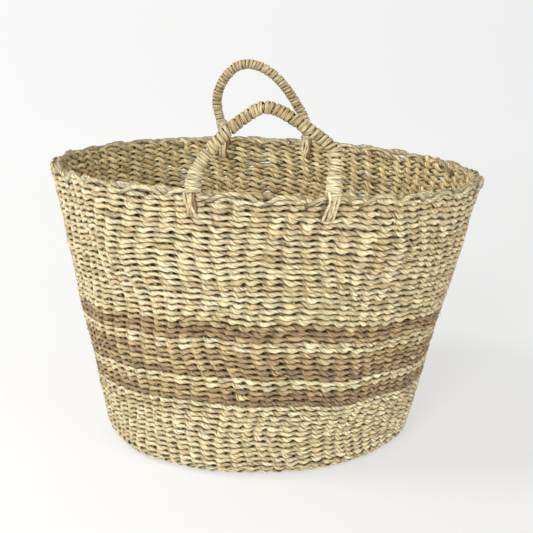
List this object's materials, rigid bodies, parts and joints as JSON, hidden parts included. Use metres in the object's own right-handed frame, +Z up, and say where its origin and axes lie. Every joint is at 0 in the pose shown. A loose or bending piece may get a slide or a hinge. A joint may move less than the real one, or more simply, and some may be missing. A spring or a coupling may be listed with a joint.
{
  "type": "seagrass storage basket",
  "caption": "Oval twined seagrass basket with flared sides, a rolled rim, brown stripes round the wall and two wrapped rope handles that fold down.",
  "frame": {"origin": "on the ground, straight below the middle of the rim", "axes": "+X to the right along the rim's width, +Y from the front handle to the back handle, +Z up"},
  "size_m": [0.5005, 0.4572, 0.4243],
  "materials": {
    "natural_seagrass": "matte twisted seagrass, pale straw",
    "brown_seagrass": "matte twisted seagrass, taupe brown",
    "wrap_seagrass": "matte twisted seagrass, very pale",
    "cord_seagrass": "matte twisted seagrass cord, tan"
  },
  "bodies": {
    "basket": {"base_cross": "cord_seagrass", "base_spokes": "cord_seagrass", "base_centre_weave": "natural_seagrass", "base_outer_weave": "natural_seagrass", "heel_weave": "natural_seagrass", "lower_wall_weave": "natural_seagrass", "lower_brown_stripe": "brown_seagrass", "lower_natural_stripe": "natural_seagrass", "middle_brown_stripe": "brown_seagrass", "upper_natural_stripe": "natural_seagrass", "upper_brown_stripe": "brown_seagrass", "upper_wall_weave": "natural_seagrass", "rim_border": "natural_seagrass", "warp_stakes": "cord_seagrass", "front_left_foot_cords": "cord_seagrass", "front_right_foot_cords": "cord_seagrass", "back_left_foot_cords": "cord_seagrass", "back_right_foot_cords": "cord_seagrass"},
    "front_handle": {"front_handle_core": "cord_seagrass", "front_handle_wrap": "wrap_seagrass", "front_left_whipping": "wrap_seagrass", "front_right_whipping": "wrap_seagrass"},
    "back_handle": {"back_handle_core": "cord_seagrass", "back_handle_wrap": "wrap_seagrass", "back_left_whipping": "wrap_seagrass", "back_right_whipping": "wrap_seagrass"}
  },
  "joints": [
    {"name": "front_handle_swing", "type": "hinge", "parent": "basket", "child": "front_handle", "pos_m": [-0.005, -0.213, 0.33], "axis": [0.9989, 0, -0.0471], "range_deg": [-80, 95]},
    {"name": "back_handle_swing", "type": "hinge", "parent": "basket", "child": "back_handle", "pos_m": [0, 0.217, 0.329], "axis": [0.999, 0, -0.0436], "range_deg": [-92, 84]}
  ]
}
